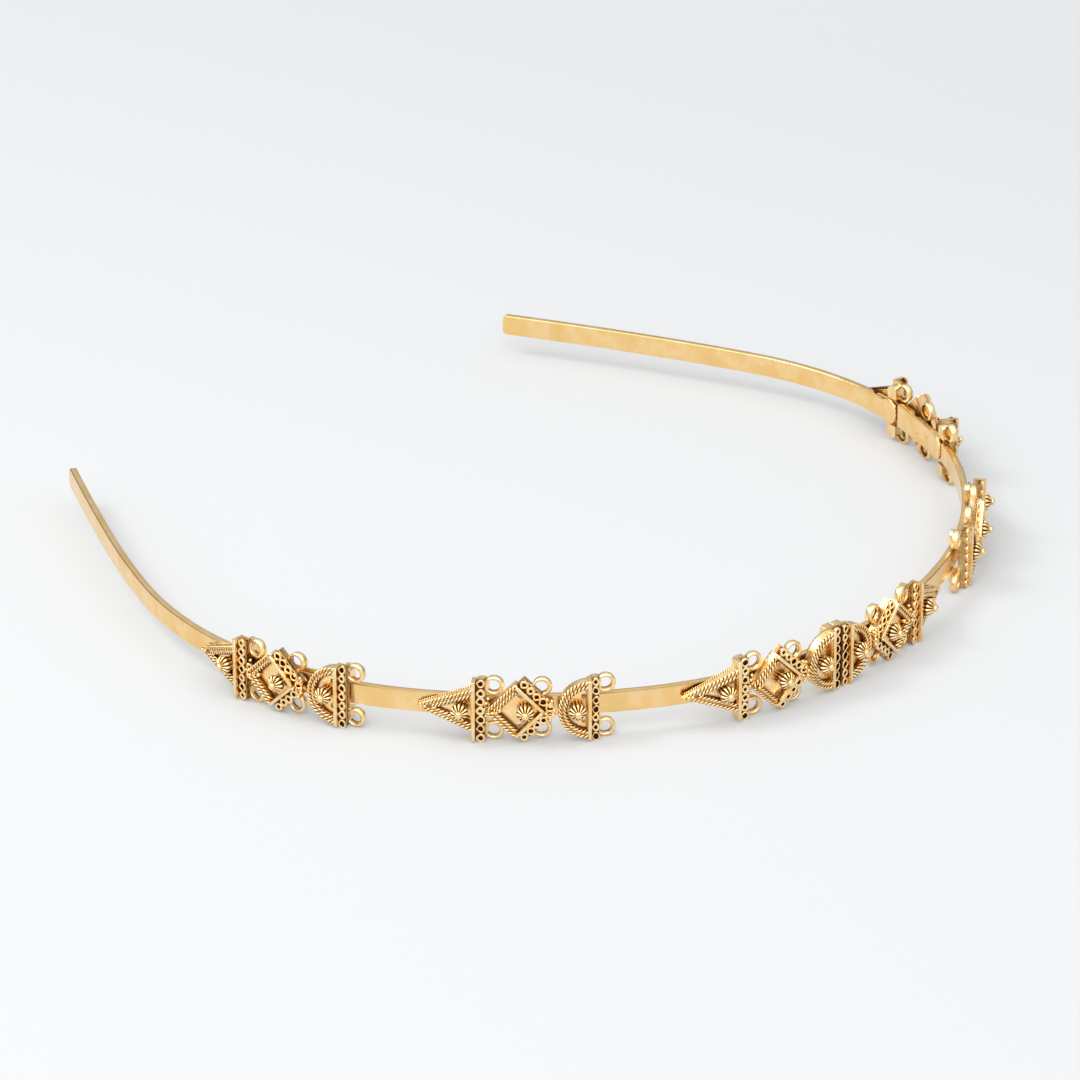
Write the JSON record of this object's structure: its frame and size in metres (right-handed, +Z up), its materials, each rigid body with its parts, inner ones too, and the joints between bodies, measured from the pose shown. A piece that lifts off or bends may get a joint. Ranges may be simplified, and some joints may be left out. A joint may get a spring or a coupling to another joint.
{
  "type": "diadem",
  "caption": "Open band diadem in gold, lying flat, with soldered groups of filigree triangles, diamonds and half-rounds along its front.",
  "frame": {"origin": "middle of the outer box, on the surface that the diadem lies on", "axes": "+X to the right as the decorated front is faced, across the head; +Y from the decorated front towards the arms' ends; +Z up, across the band's height as it lies flat"},
  "size_m": [0.1639, 0.1484, 0.0118],
  "materials": {
    "band_gold": "polished yellow gold with fine wear",
    "ornament_gold": "yellow gold filigree, darker in its recesses",
    "boss_gold": "yellow gold, ribbed, polished on the raised parts"
  },
  "bodies": {
    "root": {"arm_left": "band_gold", "arm_right": "band_gold", "diamond_centre_left": "ornament_gold", "diamond_centre_left_boss": "boss_gold", "diamond_centre_right": "ornament_gold", "diamond_centre_right_boss": "boss_gold", "diamond_front_left": "ornament_gold", "diamond_front_left_boss": "boss_gold", "diamond_front_right": "ornament_gold", "diamond_front_right_boss": "boss_gold", "diamond_side_left": "ornament_gold", "diamond_side_left_boss": "boss_gold", "diamond_side_right": "ornament_gold", "diamond_side_right_boss": "boss_gold", "front_band": "band_gold", "half_round_centre_left": "ornament_gold", "half_round_centre_left_boss": "boss_gold", "half_round_centre_right": "ornament_gold", "half_round_centre_right_boss": "boss_gold", "half_round_front_left": "ornament_gold", "half_round_front_left_boss": "boss_gold", "half_round_front_right": "ornament_gold", "half_round_front_right_boss": "boss_gold", "half_round_side_left": "ornament_gold", "half_round_side_left_boss": "boss_gold", "half_round_side_right": "ornament_gold", "half_round_side_right_boss": "boss_gold", "link_left": "band_gold", "link_right": "band_gold", "triangle_centre_left": "ornament_gold", "triangle_centre_left_boss": "boss_gold", "triangle_centre_right": "ornament_gold", "triangle_centre_right_boss": "boss_gold", "triangle_front_left": "ornament_gold", "triangle_front_left_boss": "boss_gold", "triangle_front_right": "ornament_gold", "triangle_front_right_boss": "boss_gold", "triangle_side_left": "ornament_gold", "triangle_side_left_boss": "boss_gold", "triangle_side_right": "ornament_gold", "triangle_side_right_boss": "boss_gold"}
  },
  "joints": []
}
